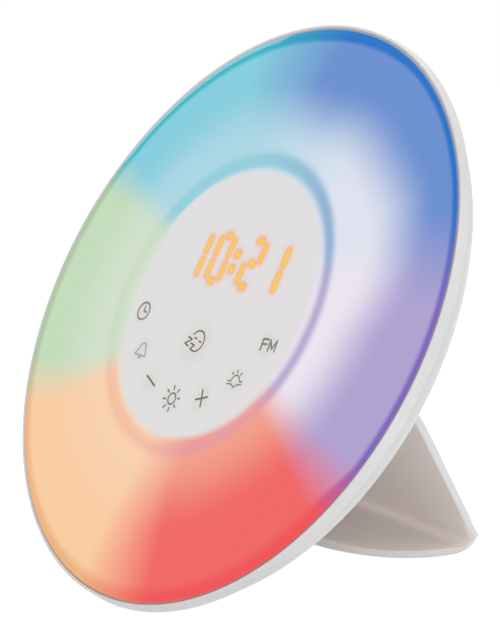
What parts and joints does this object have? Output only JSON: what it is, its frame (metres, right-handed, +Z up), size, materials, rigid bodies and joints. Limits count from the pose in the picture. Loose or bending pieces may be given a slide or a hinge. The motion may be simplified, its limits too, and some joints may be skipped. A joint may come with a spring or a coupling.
{
  "type": "sunrise alarm clock",
  "caption": "Round wake-up light and alarm clock: a lit disc with a central digital display and touch keys, leaning back on an open bent-plate stand.",
  "frame": {"origin": "on the table, under the middle of the clock's box", "axes": "+X to the clock's right as seen from the front, -Y the side that the lit face looks to, +Z up"},
  "size_m": [0.187, 0.1143, 0.1643],
  "materials": {
    "diffuser": "satin milky white, lit from behind in six soft colours",
    "housing": "satin white",
    "stand": "satin white",
    "pads": "matte grey",
    "frame": "white, reflecting",
    "led_board": "white solder mask",
    "leds": "white package, clear lens",
    "white_leds": "yellow phosphor",
    "film": "white film",
    "board": "green solder mask",
    "display": "matte, dark",
    "segments_on": "glowing amber",
    "segments_off": "milky",
    "tinned": "tinned",
    "shroud": "white",
    "springs": "plated spring wire",
    "chips": "black moulding",
    "tinned_can": "tinned can",
    "capacitors": "blue sleeve",
    "connectors": "natural nylon",
    "foam": "matte foam",
    "cloth": "black woven",
    "basket": "grey pressed steel",
    "magnet": "dark",
    "surround": "black",
    "cone": "black",
    "screws": "zinc plated",
    "jack": "black moulding",
    "pin": "plated",
    "cell": "plain steel can",
    "contacts": "plated spring",
    "door": "satin white",
    "ribbon": "flat cable",
    "wire_red": "insulated wire",
    "wire_black": "insulated wire",
    "wire_blue": "insulated wire"
  },
  "bodies": {
    "clock": {"front_diffuser": "diffuser", "rear_housing": "housing", "stand": "stand", "stand_pads": "pads", "inner_frame": "frame", "led_board": "led_board", "rgb_leds": "leds", "white_leds": "white_leds", "reflector_film": "film", "main_board": "board", "display_module": "display", "lit_segments": "segments_on", "unlit_segments": "segments_off", "display_pins": "tinned", "display_shroud": "shroud", "touch_springs": "springs", "mcu_chip": "chips", "fm_tuner": "tinned_can", "amp_chip": "chips", "capacitors": "capacitors", "crystal": "tinned_can", "board_connectors": "connectors", "speaker_gasket": "foam", "grille_cloth": "cloth", "speaker_frame": "basket", "speaker_magnet": "magnet", "speaker_surround": "surround", "speaker_screws": "screws", "dc_jack": "jack", "jack_pin": "pin", "jack_board": "board", "jack_screws": "screws", "coin_cell": "cell", "battery_contacts": "contacts", "case_screws": "screws", "frame_screws": "screws", "board_screws": "screws", "stand_screws": "screws", "led_ribbon": "ribbon", "speaker_leads": "wire_red", "jack_leads": "wire_black", "battery_leads": "wire_blue"},
    "battery_door": {"battery_door": "door"},
    "speaker_cone": {"speaker_cone": "cone"}
  },
  "joints": [
    {"name": "battery_door_turn", "type": "hinge", "parent": "clock", "child": "battery_door", "pos_m": [-0.034, 0.01713, 0.08287], "axis": [0, 0.8746, -0.4848], "range_deg": [0, 60]},
    {"name": "speaker_cone_travel", "type": "slide", "parent": "clock", "child": "speaker_cone", "axis": [0, 0.8746, -0.4848], "range_m": [-0.0006, 0.0006], "stiffness_N_per_m": 900}
  ]
}
